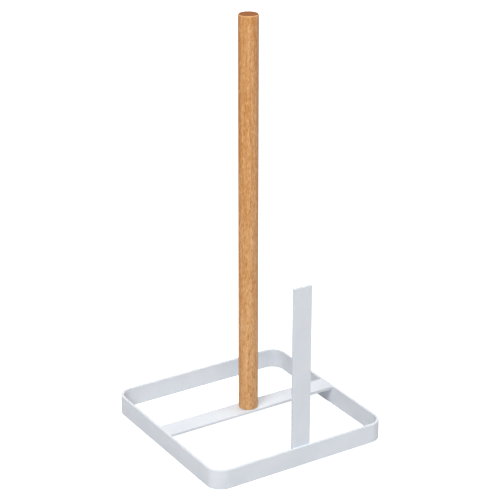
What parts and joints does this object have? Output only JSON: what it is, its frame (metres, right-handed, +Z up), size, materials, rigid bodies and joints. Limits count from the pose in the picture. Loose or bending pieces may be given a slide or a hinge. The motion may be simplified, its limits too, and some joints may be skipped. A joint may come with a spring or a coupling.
{
  "type": "paper towel holder",
  "caption": "Free-standing paper towel holder: open square flat-bar base, cross strip, upright stop strip and a round wooden post held by a screw from below.",
  "frame": {"origin": "centre of the square base, on the surface that it stands on", "axes": "+Z up along the dowel, +X along the cross strip, the stop strip stands at -Y"},
  "size_m": [0.15, 0.15, 0.323],
  "materials": {
    "white_paint": "satin white powder coat",
    "beech": "clear satin lacquer",
    "plated_steel": "zinc plated"
  },
  "bodies": {
    "root": {"base_band": "white_paint", "cross_strip": "white_paint", "stop_strip": "white_paint", "cross_weld_left": "white_paint", "cross_weld_right": "white_paint", "stop_weld_left": "white_paint", "stop_weld_right": "white_paint", "dowel": "beech", "dowel_screw": "plated_steel"}
  },
  "joints": []
}
